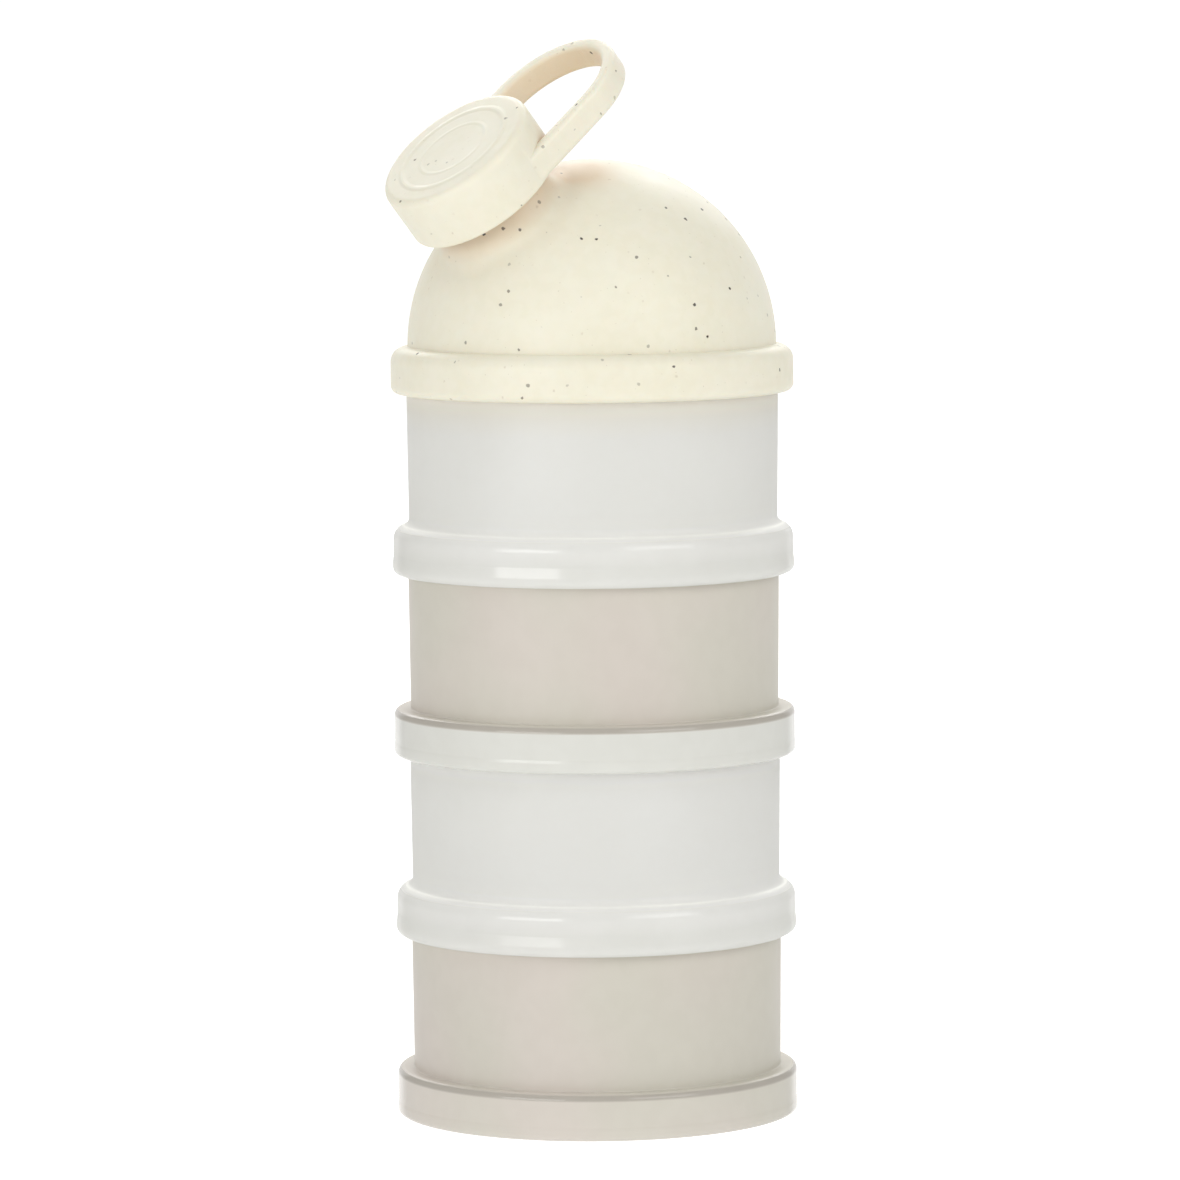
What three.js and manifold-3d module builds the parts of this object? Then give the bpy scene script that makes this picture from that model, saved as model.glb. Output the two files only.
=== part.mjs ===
// Stacking formula dispenser: four screw-together powder chambers under a domed lid
// whose pouring spout is shut by a screw cap with a finger loop.
//
// Millimetres, +Z up. The origin is the centre of the ring that the stack stands on, on
// the axis of the stack. The spout leans down the dome towards -X and -Y.
import * as THREE from 'three';
import { mergeVertices } from 'three/addons/utils/BufferGeometryUtils.js';
import Module from 'manifold-3d';

// ---------------------------------------------------------------- driving dimensions

const CHAMBER_COUNT = 4;
const PITCH = 35.1;               // rise of the stack for each chamber
const SIDES = 48;                 // facets round every turned shape
const STEP = 360 / SIDES;         // degrees from one facet to the next
const WALL = 1.4;                 // moulded wall
const GAP = 0.3;                  // clearance kept between pieces that rest on each other

// Collar: the wide skirt that every chamber and the lid screw down with.
const COLLAR_R = 39;
const COLLAR_BORE_R = 37.1;
const COLLAR_H = 9.0;

// Edge radii of the collars. The grey chambers are moulded crisper than the clear ones.
const GREY_EDGES = { top: 1.3, foot: 0.8 };
const CLEAR_EDGES = { top: 2.7, foot: 1.5 };
const LID_EDGES = { top: 2.9, foot: 1.5 };

// Chamber: cup body above the collar, ending in a threaded neck.
const BODY_R = 36.0;
const FLOOR = 1.3;
const FLOOR_FILLET = 2.0;
const NECK_R = 34.7;
const SHOULDER = 0.8;             // how far the body reaches into the next collar
const NECK_TOP = 6.1;             // neck rim above the next collar's foot

// Coarse four-start thread between a neck and the next collar.
const THREAD_STARTS = 4;
const THREAD_LEAD = 12;
const THREAD_ARC = 82.5;          // degrees covered by each ridge
const MALE_CREST_R = 36.3;
const FEMALE_CREST_R = 35.5;
const MALE_START_Z = 1.9;         // centre of a male ridge's lower end above the collar foot
const RIDGE_ROOT_HALF = 0.65;     // half height of a ridge at its root
const RIDGE_CREST_HALF = 0.35;
const RIDGE_SINK = 0.5;           // how far a ridge's root is buried in its wall

// Flat silicone seal under every floor, and the rib that centres it.
const SEAL_T = 1.0;
const SEAL_INNER_R = 32.6;
const SEAL_OUTER_R = 36.6;
const RIB_INNER_R = 31.4;
const RIB_DROP = 1.1;

// Domed lid.
const DOME_R = 35.7;
const DOME_CENTRE_Z = 9.2;        // centre of the dome above the lid's foot
const LEDGE_TOP_Z = 8.4;

// Spout and its cap, on an axis through the centre of the dome.
const SPOUT_TILT = 40.8;          // degrees from +Z
const SPOUT_AZIMUTH = 218.3;      // degrees from +X about +Z
const SPOUT_R = 11.4;
const SPOUT_BORE_R = 10.0;
const SPOUT_THREAD_STARTS = 2;
const SPOUT_THREAD_LEAD = 6;
const SPOUT_THREAD_ARC = 150;
const SPOUT_MALE_CREST_R = 12.7;
const SPOUT_FEMALE_CREST_R = 12.2;

const CAP_R = 15.85;
const CAP_BORE_R = 13.6;
const CAP_FOOT = 39.4;            // distances from the centre of the dome
const CAP_TOP = 50.9;
const CAP_ROOF = 1.8;
const CAP_ROUND = 1.5;
const CAP_SEAL_R = 13.1;

// Low ring moulded on the cap's top.
const RING_R = 11.4;
const RING_HALF = 0.35;
const RING_RISE = 0.25;

// Finger loop: a flat band, one piece with the cap.
const LOOP_REACH = 22.9;          // from the cap's axis to the centre of the loop's end
const LOOP_OUTER_R = 15.3;
const LOOP_T = 2.75;
const LOOP_FOOT = 39.65;
const LOOP_H = 5.6;
const LOOP_AZIMUTH = 176.6;       // about the cap's axis, 180 being straight up the dome

// ---------------------------------------------------------------- derived heights

const floorUnder = COLLAR_H - FLOOR;
const sealTop = floorUnder - GAP;
const spoutRim = CAP_TOP - CAP_ROOF - SEAL_T - 2 * GAP;
const lidFoot = CHAMBER_COUNT * PITCH;

// ---------------------------------------------------------------- solids

const wasm = await Module();
wasm.setup();

const rad = THREE.MathUtils.degToRad;

// Turns a geometry into a closed solid, with its faces pointing out.
function solid(geometry) {
  const bare = geometry.clone();
  bare.deleteAttribute('normal');
  bare.deleteAttribute('uv');
  const merged = mergeVertices(bare, 1e-4);
  const position = merged.attributes.position;
  const corner = [new THREE.Vector3(), new THREE.Vector3(), new THREE.Vector3()];
  const triangles = [];
  let volume = 0;
  for (let i = 0; i < merged.index.count; i += 3) {
    const [a, b, c] = [0, 1, 2].map((n) => merged.index.getX(i + n));
    if (a === b || b === c || c === a) continue;
    triangles.push([a, b, c]);
    [a, b, c].forEach((v, n) => corner[n].fromBufferAttribute(position, v));
    volume += corner[0].dot(corner[1].cross(corner[2])) / 6;
  }
  const facing = volume > 0 ? triangles : triangles.map(([a, b, c]) => [a, c, b]);
  return new wasm.Manifold(new wasm.Mesh({
    numProp: 3,
    vertProperties: new Float32Array(position.array),
    triVerts: new Uint32Array(facing.flat()),
  }));
}

// Turns a solid back into a flat-shaded geometry.
function geometryOf(body) {
  const mesh = body.getMesh();
  const geometry = new THREE.BufferGeometry();
  geometry.setAttribute('position', new THREE.BufferAttribute(mesh.vertProperties, 3));
  geometry.setIndex(new THREE.BufferAttribute(mesh.triVerts, 1));
  const faceted = geometry.toNonIndexed();
  faceted.computeVertexNormals();
  return faceted;
}

// Revolves [radius, height] points about +Z.
function turned(profile) {
  const points = profile.map(([r, z]) => new THREE.Vector2(r, z));
  const geometry = new THREE.LatheGeometry(points, SIDES);
  geometry.rotateX(Math.PI / 2);
  return geometry;
}

// Points on a circle in the [radius, height] plane, both ends included.
function arc(r, z, radius, from, to, steps) {
  return Array.from({ length: steps + 1 }, (_, i) => {
    const angle = rad(from + ((to - from) * i) / steps);
    return [r + radius * Math.cos(angle), z + radius * Math.sin(angle)];
  });
}

// One thread ridge: a trapezium that follows a helix and fades at both ends.
function threadRidge({ wall, crest, z, lead, from, sweep }) {
  const root = wall - Math.sign(crest - wall) * RIDGE_SINK;
  const steps = Math.round(sweep / STEP);
  const positions = [];
  for (let i = 0; i <= steps; i += 1) {
    const turn = (sweep * i) / steps;
    const angle = rad(from + turn);
    const height = z + (lead * turn) / 360;
    const end = i === 0 || i === steps;
    const top = end ? wall + (crest - wall) * 0.2 : crest;
    const section = [
      [root, -RIDGE_ROOT_HALF],
      [top, -RIDGE_CREST_HALF],
      [top, RIDGE_CREST_HALF],
      [root, RIDGE_ROOT_HALF],
    ];
    section.forEach(([r, dz]) => {
      positions.push(r * Math.sin(angle), -r * Math.cos(angle), height + dz);
    });
  }
  const faces = [0, 1, 2, 0, 2, 3];
  for (let i = 0; i < steps; i += 1) {
    for (let k = 0; k < 4; k += 1) {
      const a = 4 * i + k;
      const b = 4 * i + ((k + 1) % 4);
      faces.push(a, a + 4, b + 4, a, b + 4, b);
    }
  }
  const last = 4 * steps;
  faces.push(last, last + 2, last + 1, last, last + 3, last + 2);
  const geometry = new THREE.BufferGeometry();
  geometry.setAttribute('position', new THREE.Float32BufferAttribute(positions, 3));
  geometry.setIndex(faces);
  return geometry;
}

// All the ridges of one thread, evenly spaced round its axis and placed by a frame.
function thread(starts, ridge, frame = new THREE.Matrix4()) {
  return Array.from({ length: starts }, (_, i) => {
    const from = ridge.from + (360 * i) / starts;
    return solid(threadRidge({ ...ridge, from }).applyMatrix4(frame));
  });
}

function joined(body, pieces) {
  return pieces.reduce((whole, piece) => whole.add(piece), body);
}

// The female ridges sit half a pitch under the male ones that they pull against.
const maleThread = {
  wall: NECK_R,
  crest: MALE_CREST_R,
  z: PITCH + MALE_START_Z,
  lead: THREAD_LEAD,
  from: 0,
  sweep: THREAD_ARC,
};
const halfPitch = THREAD_LEAD / THREAD_STARTS / 2;
const femaleOffset = 3 * STEP;
const femaleThread = {
  wall: COLLAR_BORE_R,
  crest: FEMALE_CREST_R,
  z: MALE_START_Z - halfPitch + (THREAD_LEAD * femaleOffset) / 360,
  lead: THREAD_LEAD,
  from: femaleOffset,
  sweep: THREAD_ARC,
};

// Outside of a collar, from its foot up to the edge of its top. The foot is left flat for
// as wide as the bore's wall allows.
function collarOutside({ top, foot }) {
  return [
    ...arc(COLLAR_R - foot, foot, foot, -90, 0, 2),
    ...arc(COLLAR_R - top, COLLAR_H - top, top, 0, 90, 3),
  ];
}

// Underside of a floor or ledge outside its middle, from the rib out to the collar's foot.
const sealSeat = [
  [RIB_INNER_R, floorUnder - RIB_DROP],
  [SEAL_INNER_R - GAP, floorUnder - RIB_DROP],
  [SEAL_INNER_R - GAP, floorUnder],
  [COLLAR_BORE_R, floorUnder],
];

function chamber(edges) {
  const bodyBore = BODY_R - WALL;
  const neckBore = NECK_R - WALL;
  const floorTop = COLLAR_H;
  const rim = PITCH + NECK_TOP;
  const shell = solid(turned([
    [0, floorUnder],
    [RIB_INNER_R, floorUnder],
    ...sealSeat,
    [COLLAR_BORE_R, 0],
    ...collarOutside(edges),
    [BODY_R, COLLAR_H],
    [BODY_R, PITCH + SHOULDER],
    [NECK_R, PITCH + SHOULDER],
    [NECK_R, rim],
    [neckBore, rim],
    [neckBore, PITCH],
    [bodyBore, PITCH - WALL],
    ...arc(bodyBore - FLOOR_FILLET, floorTop + FLOOR_FILLET, FLOOR_FILLET, 0, -90, 2),
    [0, floorTop],
  ]));
  const ridges = [
    ...thread(THREAD_STARTS, maleThread),
    ...thread(THREAD_STARTS, femaleThread),
  ];
  return geometryOf(joined(shell, ridges));
}

function sealRing() {
  return turned([
    [SEAL_INNER_R, sealTop - SEAL_T],
    [SEAL_OUTER_R, sealTop - SEAL_T],
    [SEAL_OUTER_R, sealTop],
    [SEAL_INNER_R, sealTop],
    [SEAL_INNER_R, sealTop - SEAL_T],
  ]);
}

// Turns +Z onto the spout's axis and puts the origin at the centre of the dome.
const spoutFrame = new THREE.Matrix4().makeTranslation(0, 0, DOME_CENTRE_Z);
spoutFrame.multiply(new THREE.Matrix4().makeRotationZ(rad(SPOUT_AZIMUTH)));
spoutFrame.multiply(new THREE.Matrix4().makeRotationY(rad(SPOUT_TILT)));

// A cylinder along the spout's axis, between two distances from the centre of the dome.
function spoutCylinder(radius, from, to) {
  const geometry = turned([[0, from], [radius, from], [radius, to], [0, to]]);
  return geometry.applyMatrix4(spoutFrame);
}

const spoutMaleThread = {
  wall: SPOUT_R,
  crest: SPOUT_MALE_CREST_R,
  z: spoutRim - 4.1,
  lead: SPOUT_THREAD_LEAD,
  from: 0,
  sweep: SPOUT_THREAD_ARC,
};
const spoutFemaleThread = {
  ...spoutMaleThread,
  wall: CAP_BORE_R,
  crest: SPOUT_FEMALE_CREST_R,
  z: spoutMaleThread.z - SPOUT_THREAD_LEAD / SPOUT_THREAD_STARTS / 2,
};

function domedLid() {
  const domeBore = DOME_R - WALL;
  const outside = solid(turned([
    [0, 0],
    ...collarOutside(LID_EDGES),
    ...arc(0, DOME_CENTRE_Z, DOME_R, 0, 90, 12),
  ]));
  const cavity = solid(turned([
    [0, -1],
    [COLLAR_BORE_R, -1],
    ...[...sealSeat].reverse(),
    [RIB_INNER_R, LEDGE_TOP_Z],
    ...arc(0, DOME_CENTRE_Z, domeBore, 6, 90, 10),
  ]));
  const neck = solid(spoutCylinder(SPOUT_R, 30, spoutRim));
  const bore = solid(spoutCylinder(SPOUT_BORE_R, 26, spoutRim + 1));
  const spoutRidges = thread(SPOUT_THREAD_STARTS, spoutMaleThread, spoutFrame);
  const hollow = outside.add(neck).subtract(cavity).subtract(bore);
  const ridges = [...spoutRidges, ...thread(THREAD_STARTS, femaleThread)];
  return geometryOf(joined(hollow, ridges));
}

// The cap and its seal are drawn about +Z, with the centre of the dome at the origin.
function spoutCap() {
  const outside = solid(turned([
    [0, CAP_FOOT],
    [CAP_R - 0.5, CAP_FOOT],
    [CAP_R, CAP_FOOT + 0.5],
    ...arc(CAP_R - CAP_ROUND, CAP_TOP - CAP_ROUND, CAP_ROUND, 0, 90, 3),
    [RING_R + 2 * RING_HALF, CAP_TOP],
    [RING_R + RING_HALF, CAP_TOP + RING_RISE],
    [RING_R - RING_HALF, CAP_TOP + RING_RISE],
    [RING_R - 2 * RING_HALF, CAP_TOP],
    [0, CAP_TOP],
  ]));
  const cavity = solid(turned([
    [0, CAP_FOOT - 1],
    [CAP_BORE_R, CAP_FOOT - 1],
    [CAP_BORE_R, CAP_TOP - CAP_ROOF],
    [0, CAP_TOP - CAP_ROOF],
  ]));
  const capWithLoop = outside.add(solid(fingerLoop())).subtract(cavity);
  return geometryOf(joined(capWithLoop, thread(SPOUT_THREAD_STARTS, spoutFemaleThread)));
}

// A closed outline with a straight back on the cap's axis and a round outer end.
function loopOutline(shape, back, radius) {
  shape.moveTo(back, -radius);
  shape.lineTo(LOOP_REACH, -radius);
  shape.absarc(LOOP_REACH, 0, radius, -Math.PI / 2, Math.PI / 2, false);
  shape.lineTo(back, radius);
  shape.closePath();
  return shape;
}

function fingerLoop() {
  const bevel = 0.5;
  const shape = loopOutline(new THREE.Shape(), 0, LOOP_OUTER_R - bevel);
  shape.holes.push(loopOutline(new THREE.Path(), 2, LOOP_OUTER_R - LOOP_T + bevel));
  const geometry = new THREE.ExtrudeGeometry(shape, {
    depth: LOOP_H - 2 * bevel,
    bevelEnabled: true,
    bevelThickness: bevel,
    bevelSize: bevel,
    bevelSegments: 1,
    curveSegments: 14,
  });
  geometry.translate(0, 0, LOOP_FOOT + bevel);
  geometry.rotateZ(rad(LOOP_AZIMUTH));
  return geometry;
}

function capSeal() {
  const top = CAP_TOP - CAP_ROOF - GAP;
  return turned([
    [0, top - SEAL_T],
    [CAP_SEAL_R, top - SEAL_T],
    [CAP_SEAL_R, top],
    [0, top],
  ]);
}

// ---------------------------------------------------------------- materials

function plastic(colour, roughness, opacity = 1) {
  return new THREE.MeshStandardMaterial({
    color: colour,
    roughness,
    metalness: 0,
    transparent: opacity < 1,
    opacity,
  });
}

const frostedClear = plastic('#e4e5de', 0.45, 0.6);
const frostedGrey = plastic('#d3c9bd', 0.45, 0.7);
const speckledCream = plastic('#efe9d9', 0.5);
const silicone = plastic('#f1efe9', 0.7);

// ---------------------------------------------------------------- assembly

const dispenser = new THREE.Group();

function piece(name, geometry, material, parent = dispenser) {
  const mesh = new THREE.Mesh(geometry, material);
  mesh.name = name;
  parent.add(mesh);
  return mesh;
}

const greyShape = chamber(GREY_EDGES);
const clearShape = chamber(CLEAR_EDGES);
const sealShape = sealRing();
for (let k = 0; k < CHAMBER_COUNT; k += 1) {
  const [shape, colour] = k % 2 === 0 ? [greyShape, frostedGrey] : [clearShape, frostedClear];
  piece(`chamber_${k + 1}`, shape, colour).position.z = k * PITCH;
  piece(`chamber_seal_${k + 1}`, sealShape, silicone).position.z = k * PITCH;
}

piece('dome_lid', domedLid(), speckledCream).position.z = lidFoot;
piece('lid_seal', sealShape, silicone).position.z = lidFoot;

const spoutGroup = new THREE.Group();
spoutGroup.applyMatrix4(spoutFrame);
spoutGroup.position.z += lidFoot;
piece('spout_cap', spoutCap(), speckledCream, spoutGroup);
piece('spout_cap_seal', capSeal(), silicone, spoutGroup);
dispenser.add(spoutGroup);

export default dispenser;
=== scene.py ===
"""Formula dispenser: four screw-together powder chambers under a domed, speckled lid.

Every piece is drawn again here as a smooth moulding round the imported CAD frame.
Lengths are written in millimetres and turned into metres when a mesh is made.
"""
import math

import bmesh
import bpy
import numpy as np
from mathutils import Matrix, Vector


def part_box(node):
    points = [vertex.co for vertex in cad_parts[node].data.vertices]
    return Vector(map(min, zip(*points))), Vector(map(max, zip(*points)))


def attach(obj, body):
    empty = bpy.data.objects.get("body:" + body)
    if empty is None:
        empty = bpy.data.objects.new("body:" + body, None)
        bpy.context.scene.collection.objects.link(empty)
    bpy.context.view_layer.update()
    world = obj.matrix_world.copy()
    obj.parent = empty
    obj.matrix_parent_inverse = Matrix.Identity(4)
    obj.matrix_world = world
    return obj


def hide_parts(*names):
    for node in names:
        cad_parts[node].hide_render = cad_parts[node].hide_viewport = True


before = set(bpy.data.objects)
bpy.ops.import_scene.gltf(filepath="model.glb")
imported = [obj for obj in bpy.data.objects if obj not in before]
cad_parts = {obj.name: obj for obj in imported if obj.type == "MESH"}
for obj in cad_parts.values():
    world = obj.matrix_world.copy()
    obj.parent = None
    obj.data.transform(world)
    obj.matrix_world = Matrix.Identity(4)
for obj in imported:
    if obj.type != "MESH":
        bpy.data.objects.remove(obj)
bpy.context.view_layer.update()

MM = 0.001
FULL_TURN = 2 * math.pi
COLUMNS = 192                  # facets round every turned piece

# ------------------------------------------------------------------ studio light levels

# How bright the room is as the object sees it, where 1 is white.
SKY_LEVEL = 0.43               # all round
SKY_BEHIND = 1.04              # the white backdrop, in place of the level all round
# What each direction adds to the level:
SKY_BELOW = 0.35               # everything under the horizon
SKY_UNDER = 0.35               # straight down, on top of that
SKY_ABOVE = 0.2
SKY_FRONT = 0.14
SKY_SIDE = 0.14

# ------------------------------------------------------------------ sizes, as in the CAD

WALL = 1.4
GAP = 0.3
PITCH = 35.1
COLLAR_R = 39.0
COLLAR_BORE_R = 37.1
LIP_R = 36.45                  # the bore narrows to this at the foot, to meet the cup below
COLLAR_H = 9.0
BODY_R = 36.0
BODY_FOOT_R = 35.75            # the cups taper a little towards their floors
FLOOR = 1.3
NECK_R = 34.7
SHOULDER = 0.8                 # how far the body reaches into the next collar
NECK_TOP = 6.1                 # neck rim above the next collar's foot
SEAL_T = 1.0
SEAL_INNER_R = 32.6
SEAL_OUTER_R = 36.6
RIB_INNER_R = 31.4
RIB_DROP = 1.1
DOME_R = 35.7
DOME_CENTRE_Z = 9.2
LEDGE_TOP_Z = 8.4
SPRING = math.radians(6)       # latitude where the dome's inside gives way to its sloping foot

SPOUT_TILT = math.radians(40.8)
SPOUT_AZIMUTH = math.radians(218.3)
SPOUT_R = 11.4
SPOUT_BORE_R = 10.0
THROAT_R = 11.6                # where the bore opens into the inside of the dome
FLARE = 8.0                    # radius of the fillet between the dome and the spout
CAP_R = 15.85
CAP_BORE_R = 13.6
CAP_FOOT = 39.4
CAP_TOP = 50.9
CAP_ROOF = 1.8
CAP_SEAL_R = 13.1
RING_R = 11.4
RING_RISE = 0.14
INNER_RING_R = 7.2
INNER_RING_RISE = 0.07
LOOP_REACH = 22.9              # from the cap's axis to the centre of the loop's round end
LOOP_OUTER_R = 15.3
LOOP_T = 2.75
LOOP_FOOT = 39.65
LOOP_H = 5.6
LOOP_EDGE = 0.95               # radius along the band's four edges
LOOP_AZIMUTH = math.radians(176.6)

# Threads, first on the chambers and the lid, then on the spout and its cap.
THREAD_STARTS = 4
THREAD_LEAD = 12.0
THREAD_ARC = math.radians(82.5)            # covered by each ridge
THREAD_FIRST = -math.pi / 2                # where the first ridge starts
FEMALE_TURN = math.radians(22.5)           # how much further round the female ridges start
MALE_CREST_R = 36.3
FEMALE_CREST_R = 35.5
MALE_START_Z = 1.9
SPOUT_THREAD_STARTS = 2
SPOUT_THREAD_LEAD = 6.0
SPOUT_THREAD_ARC = math.radians(150)
SPOUT_THREAD_DROP = 4.1                    # from the spout's rim to the start of its ridges
SPOUT_THREAD_RUN = 10                      # how much of the spout under its rim can hold ridges
SPOUT_MALE_CREST_R = 12.7
SPOUT_FEMALE_CREST_R = 12.2
RIDGE_HALF = 0.65                          # half height of a ridge at its root
RIDGE_FLANK = 0.32                         # height that each flank takes
RIDGE_FADE = math.radians(9)               # at both ends of a ridge

# Edge radii (top, foot) of the collars.
GREY_EDGES = (1.3, 0.8)
CLEAR_EDGES = (2.7, 1.5)
LID_EDGES = (2.9, 1.5)

# A faint leaning band moulded round each chamber's collar: foot, head, lean inwards.
CLEAR_GLEAM = (2.0, 4.0, 0.2)
GREY_GLEAM = (2.0, 2.6, 0.06)

# Where the collar's ledge meets the cup's wall: how much the ledge rises to it, and the fillet.
CLEAR_LEDGE = (0.75, 1.5)
GREY_LEDGE = (0.0, 0.25)

# Painted light: the cup's wall glows, standing in for light that runs along inside it and comes
# out again: some all over, and more under the next collar's foot and at the corner with the ledge.
STRAY_ALL_OVER = 0.06
STRAY_UNDER_NEXT = 0.7
STRAY_REACH = 3.2              # how far below the next collar that goes
STRAY_AT_LEDGE = 0.5
LEDGE_GLOW_Z = 0.9             # its middle above the ledge
LEDGE_GLOW_SPREAD = 1.1
# Painted bounced light: warm light off the cream lid on the top cup's wall.
LID_BOUNCE_REACH = 7                 # how far below its collar the lid tints the top cup

# Painted shade and bounced light between the loop, the spout and the dome; angles about the
# spout's axis, in degrees, from the axis outwards and from the loop's middle round.
INNER_LOOP = 0.7
UNDER_LOOP = 1.9
UNDER_LOOP_POLAR = 28
UNDER_LOOP_TURN = -23
POLAR_SPREAD = 9
TURN_SPREAD = 19
SPOUT_ROOT_R = 13.8

FLOOR_UNDER = COLLAR_H - FLOOR
SEAL_TOP = FLOOR_UNDER - GAP
SPOUT_RIM = CAP_TOP - CAP_ROOF - SEAL_T - 2 * GAP


# ------------------------------------------------------------------ outlines


def rounded(corners, ease=0.2, step=9):
    """Outline through (r, z, radius) corners, each rounded with a point every step degrees.

    A further point, ease away from each round, keeps the flat stretches shaded flat.
    """
    points = [np.array(corners[0][:2], float)]
    for before, corner, after in zip(corners, corners[1:], corners[2:]):
        here = np.array(corner[:2], float)
        back = np.array(before[:2], float) - here
        on = np.array(after[:2], float) - here
        reach_back, reach_on = np.linalg.norm(back), np.linalg.norm(on)
        back, on = back / reach_back, on / reach_on
        bend = math.pi - math.acos(max(-1.0, min(1.0, float(back @ on))))
        radius = corner[2]
        if radius <= 0 or bend < 1e-3:
            points.append(here)
            continue
        run = radius * math.tan(bend / 2)
        start, end = here + back * run, here + on * run
        centre = here + (back + on) / np.linalg.norm(back + on) * radius / math.cos(bend / 2)
        if reach_back - run > 2 * ease:
            points.append(start + back * ease)
        count = max(2, round(math.degrees(bend) / step))
        a, b = start - centre, end - centre
        for k in range(count + 1):
            turn = bend * k / count
            points.append(
                centre + (math.sin(bend - turn) * a + math.sin(turn) * b) / math.sin(bend))
        if reach_on - run > 2 * ease:
            points.append(end + on * ease)
    points.append(np.array(corners[-1][:2], float))
    return points


def stepped(outline, r, low, high, step=0.16):
    """The outline with its upright stretch at radius r cut into fine rows between two heights."""
    made = [outline[0]]
    for a, b in zip(outline, outline[1:]):
        if abs(a[0] - r) < 1e-6 and abs(b[0] - r) < 1e-6 and abs(b[1] - a[1]) > 2 * step:
            bottom, top = max(low, min(a[1], b[1])), min(high, max(a[1], b[1]))
            count = max(0, round((top - bottom) / step))
            heights = [bottom + (top - bottom) * k / max(count, 1) for k in range(count + 1)]
            heights = [z for z in heights if 0.02 < abs(z - a[1]) and 0.02 < abs(z - b[1])]
            made += [np.array([r, z]) for z in sorted(heights, reverse=a[1] > b[1])]
        made.append(b)
    return made


def ridges(angle, z, starts, first, height, lead, arc):
    """How far up its flank a thread ridge is, from 0 to 1, at each angle and height."""
    best = np.zeros(np.broadcast(angle, z).shape)
    for k in range(starts):
        turn = np.mod(angle - first - k * FULL_TURN / starts, FULL_TURN)
        centre = height + lead * turn / FULL_TURN
        flank = np.clip((RIDGE_HALF - np.abs(z - centre)) / RIDGE_FLANK, 0, 1)
        flank = flank * flank * (3 - 2 * flank)
        end = np.clip(np.minimum(turn, arc - turn) / RIDGE_FADE, 0, 1)
        best = np.maximum(best, flank * np.sqrt(end) * (turn < arc))
    return best


def thread(starts, lead, arc, first, height):
    """One set of helical ridges: how many, how steep, how long, and where the first one starts."""
    return dict(starts=starts, lead=lead, arc=arc, first=first, height=height)


# A female ridge runs half way between two male ones.
MALE = thread(THREAD_STARTS, THREAD_LEAD, THREAD_ARC, THREAD_FIRST, PITCH + MALE_START_Z)
FEMALE = thread(
    THREAD_STARTS, THREAD_LEAD, THREAD_ARC, THREAD_FIRST + FEMALE_TURN,
    MALE_START_Z - THREAD_LEAD / THREAD_STARTS / 2 + THREAD_LEAD * FEMALE_TURN / FULL_TURN)
SPOUT_MALE = thread(
    SPOUT_THREAD_STARTS, SPOUT_THREAD_LEAD, SPOUT_THREAD_ARC, THREAD_FIRST,
    SPOUT_RIM - SPOUT_THREAD_DROP)
SPOUT_FEMALE = dict(
    SPOUT_MALE, height=SPOUT_MALE["height"] - SPOUT_THREAD_LEAD / SPOUT_THREAD_STARTS / 2)


def threaded(rows, angle, r, crest, low, high, helix):
    """Raises the rows of [radius, height] that stand at radius r into thread ridges."""
    for row in rows:
        upright = np.abs(row[:, 0] - r) < 1e-6
        inside = upright & (row[:, 1] > low) & (row[:, 1] < high)
        if inside.any():
            up = ridges(angle, row[:, 1], **helix)
            row[:, 0] = np.where(inside, row[:, 0] + (crest - r) * up, row[:, 0])
    return rows


def spread(outline):
    """One array of [radius, height] per outline point, repeated for every column."""
    return [np.tile(np.asarray(p, float), (COLUMNS, 1)) for p in outline]


def turned(rows, angle):
    """Rows of [radius, height] turned about +Z, as rows of points."""
    return [
        np.stack([row[:, 0] * np.cos(angle), row[:, 0] * np.sin(angle), row[:, 1]], 1)
        for row in rows
    ]


# ------------------------------------------------------------------ meshes


def skinned(name, rows, ends="poles"):
    """A closed mesh over rows of points: a ball with two poles, or a ring where rows meet again."""
    bm = bmesh.new()
    made = []
    for row in rows:
        if np.ptp(row, axis=0).max() < 1e-7:
            made.append([bm.verts.new(row[0] * MM)])
        else:
            made.append([bm.verts.new(p * MM) for p in row])
    pairs = list(zip(made, made[1:]))
    if ends == "ring":
        pairs.append((made[-1], made[0]))
    for low, high in pairs:
        n = max(len(low), len(high))
        for i in range(n):
            j = (i + 1) % n
            if len(low) == 1:
                corners = [low[0], high[j], high[i]]
            elif len(high) == 1:
                corners = [low[i], low[j], high[0]]
            else:
                corners = [low[i], low[j], high[j], high[i]]
            bm.faces.new(corners)
    bmesh.ops.recalc_face_normals(bm, faces=bm.faces)
    return finished(name, bm)


def finished(name, bm, sharp=math.radians(48)):
    """An object out of a bmesh, shaded smooth except across edges sharper than an angle."""
    for face in bm.faces:
        face.smooth = True
    for edge in bm.edges:
        edge.smooth = len(edge.link_faces) != 2 or edge.calc_face_angle(0) < sharp
    mesh = bpy.data.meshes.new(name)
    bm.to_mesh(mesh)
    bm.free()
    piece = bpy.data.objects.new(name, mesh)
    bpy.context.scene.collection.objects.link(piece)
    return piece


def placed(piece, node, body, material):
    """Hands a piece to the frame: it rides on a body and stands for a CAD node."""
    piece.data.materials.append(material)
    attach(piece, body)
    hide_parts(node)
    return piece


def lifted(rows, height):
    """Rows of points moved up."""
    return [row + np.array([0.0, 0.0, height]) for row in rows]


def points_of(piece):
    """The piece's vertices in millimetres."""
    place = np.empty(len(piece.data.vertices) * 3)
    piece.data.vertices.foreach_get("co", place)
    return place.reshape(-1, 3) / MM


def write_value(piece, name, value):
    """Keeps one number per vertex, for a material to read."""
    layer = piece.data.attributes.new(name, "FLOAT", "POINT")
    layer.data.foreach_set("value", value)


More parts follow.
